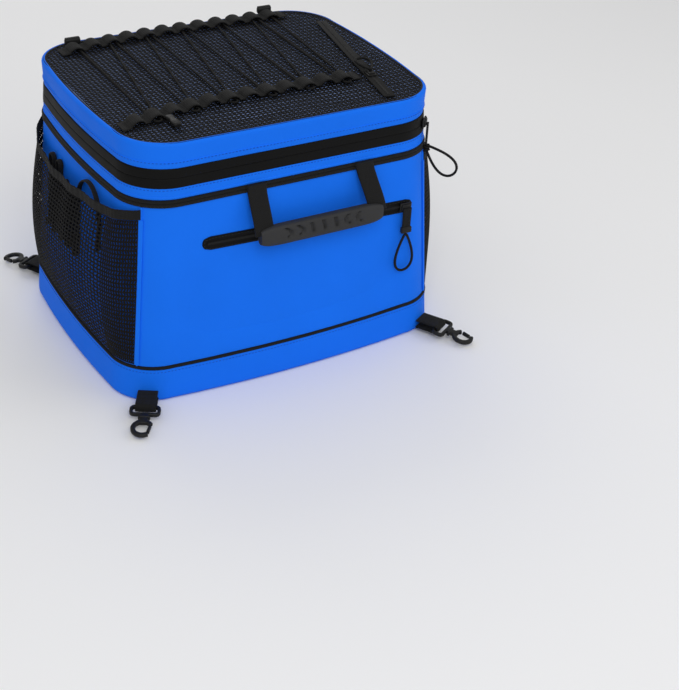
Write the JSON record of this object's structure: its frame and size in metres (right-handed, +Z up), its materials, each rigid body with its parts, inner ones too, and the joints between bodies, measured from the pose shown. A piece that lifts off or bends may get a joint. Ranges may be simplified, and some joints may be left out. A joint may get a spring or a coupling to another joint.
{
  "type": "insulated deck bag",
  "caption": "Soft-sided insulated deck bag with a zipped lid, laced bungee top, mesh side pockets, front zip pocket, carry handles and corner tie-down hooks.",
  "frame": {"origin": "middle of the bag's underside, on the surface that it stands on", "axes": "+Z up, -Y the front with the pocket zip and the carry handle, +X the bag's own left-to-right seen from the front"},
  "size_m": [0.4722, 0.4586, 0.3297],
  "materials": {
    "coated_blue": "satin",
    "binding": "matte",
    "zip_tape": "satin",
    "webbing": "matte",
    "cord": "matte",
    "mesh": "matte",
    "hardware": "satin",
    "grip": "matte",
    "foam": "matte",
    "liner": "satin"
  },
  "bodies": {
    "bag": {"base_panel": "coated_blue", "base_band": "coated_blue", "base_piping": "binding", "body_shell": "coated_blue", "trim_binding": "binding", "collar_band": "coated_blue", "zip_tape_lower": "zip_tape", "body_insulation": "foam", "inner_liner": "liner", "front_pocket_pouch": "liner", "front_pocket_zip_tape": "zip_tape", "left_pocket_mesh": "mesh", "left_pocket_hem": "binding", "right_pocket_mesh": "mesh", "right_pocket_hem": "binding", "shoulder_strap": "webbing", "tie_tab_front_left": "webbing", "tie_tab_front_right": "webbing", "tie_tab_rear_left": "webbing", "tie_tab_rear_right": "webbing"},
    "lid": {"lid_rim": "coated_blue", "zip_tape_upper": "zip_tape", "lid_liner": "liner", "lid_insulation": "foam", "lid_panel": "coated_blue", "lid_mesh": "mesh", "front_daisy_chain": "webbing", "rear_daisy_chain": "webbing", "bungee_cord": "cord", "cord_lock_left": "hardware", "cord_lock_right": "hardware", "cord_clip": "hardware", "mesh_zip_tape": "zip_tape"},
    "lid_slider": {"lid_zip_slider": "hardware"},
    "lid_pull": {"lid_pull_tab": "webbing", "lid_pull_loop": "cord"},
    "pocket_slider": {"pocket_zip_slider": "hardware"},
    "pocket_pull": {"pocket_pull_tab": "webbing", "pocket_pull_ferrule": "hardware", "pocket_pull_loop": "cord"},
    "mesh_slider": {"mesh_zip_slider": "hardware"},
    "mesh_pull": {"mesh_pull_loop": "cord"},
    "front_handle": {"front_handle_strap_left": "webbing", "front_handle_strap_right": "webbing", "front_handle_grip": "grip"},
    "rear_handle": {"rear_handle_strap_left": "webbing", "rear_handle_strap_right": "webbing", "rear_handle_grip": "grip"},
    "hook_front_left": {"tie_hook_front_left": "hardware"},
    "hook_front_right": {"tie_hook_front_right": "hardware"},
    "hook_rear_left": {"tie_hook_rear_left": "hardware"},
    "hook_rear_right": {"tie_hook_rear_right": "hardware"},
    "gate_front_left": {"tie_gate_front_left": "hardware"},
    "gate_front_right": {"tie_gate_front_right": "hardware"},
    "gate_rear_left": {"tie_gate_rear_left": "hardware"},
    "gate_rear_right": {"tie_gate_rear_right": "hardware"}
  },
  "joints": [
    {"name": "lid_hinge", "type": "hinge", "parent": "bag", "child": "lid", "pos_m": [0, 0.16022, 0.2786], "axis": [-1, 0, 0], "range_deg": [0, 115]},
    {"name": "lid_zip_travel", "type": "hinge", "parent": "bag", "child": "lid_slider", "pos_m": [0.13911, -0.10342, 0.2786], "axis": [0, 0, 1], "range_deg": [-44, 0]},
    {"name": "lid_pull_swing", "type": "hinge", "parent": "lid_slider", "child": "lid_pull", "pos_m": [0.18421, -0.14698, 0.2786], "axis": [-0.6947, -0.7193, 0], "range_deg": [0, 110]},
    {"name": "pocket_zip_travel", "type": "slide", "parent": "bag", "child": "pocket_slider", "axis": [-0.9994, 0, 0.0342], "range_m": [0, 0.25]},
    {"name": "pocket_pull_swing", "type": "hinge", "parent": "pocket_slider", "child": "pocket_pull", "pos_m": [0.149, -0.17067, 0.18388], "axis": [-1, 0, 0], "range_deg": [0, 120]},
    {"name": "mesh_zip_travel", "type": "slide", "parent": "lid", "child": "mesh_slider", "axis": [0.1915, 0.9815, 0], "range_m": [-0.055, 0.172]},
    {"name": "mesh_pull_swing", "type": "hinge", "parent": "mesh_slider", "child": "mesh_pull", "pos_m": [0.14114, -0.08122, 0.3283], "axis": [0.9815, -0.1915, 0], "range_deg": [0, 160]},
    {"name": "front_handle_swing", "type": "hinge", "parent": "bag", "child": "front_handle", "pos_m": [0, -0.16379, 0.254], "axis": [-1, 0, 0], "range_deg": [0, 150]},
    {"name": "rear_handle_swing", "type": "hinge", "parent": "bag", "child": "rear_handle", "pos_m": [0, 0.16379, 0.2447], "axis": [1, 0, 0], "range_deg": [0, 55]},
    {"name": "hook_front_left_swing", "type": "hinge", "parent": "bag", "child": "hook_front_left", "pos_m": [-0.20099, -0.18509, 0.0115], "axis": [-0.866, 0.5, 0], "range_deg": [0, 80]},
    {"name": "hook_front_right_swing", "type": "hinge", "parent": "bag", "child": "hook_front_right", "pos_m": [0.20099, -0.18509, 0.0115], "axis": [-0.866, -0.5, 0], "range_deg": [0, 80]},
    {"name": "hook_rear_left_swing", "type": "hinge", "parent": "bag", "child": "hook_rear_left", "pos_m": [-0.20099, 0.18509, 0.0115], "axis": [0.866, 0.5, 0], "range_deg": [0, 80]},
    {"name": "hook_rear_right_swing", "type": "hinge", "parent": "bag", "child": "hook_rear_right", "pos_m": [0.20099, 0.18509, 0.0115], "axis": [0.866, -0.5, 0], "range_deg": [0, 80]},
    {"name": "gate_front_left_press", "type": "hinge", "parent": "hook_front_left", "child": "gate_front_left", "pos_m": [-0.20974, -0.21687, 0.00758], "axis": [0.0609, 0.1055, -0.9925], "range_deg": [0, 22], "stiffness_Nm_per_rad": 0.02},
    {"name": "gate_front_right_press", "type": "hinge", "parent": "hook_front_right", "child": "gate_front_right", "pos_m": [0.22413, -0.20856, 0.00758], "axis": [-0.0609, 0.1055, -0.9925], "range_deg": [0, 22], "stiffness_Nm_per_rad": 0.02},
    {"name": "gate_rear_left_press", "type": "hinge", "parent": "hook_rear_left", "child": "gate_rear_left", "pos_m": [-0.22413, 0.20856, 0.00758], "axis": [0.0609, -0.1055, -0.9925], "range_deg": [0, 22], "stiffness_Nm_per_rad": 0.02},
    {"name": "gate_rear_right_press", "type": "hinge", "parent": "hook_rear_right", "child": "gate_rear_right", "pos_m": [0.20974, 0.21687, 0.00758], "axis": [-0.0609, -0.1055, -0.9925], "range_deg": [0, 22], "stiffness_Nm_per_rad": 0.02}
  ]
}
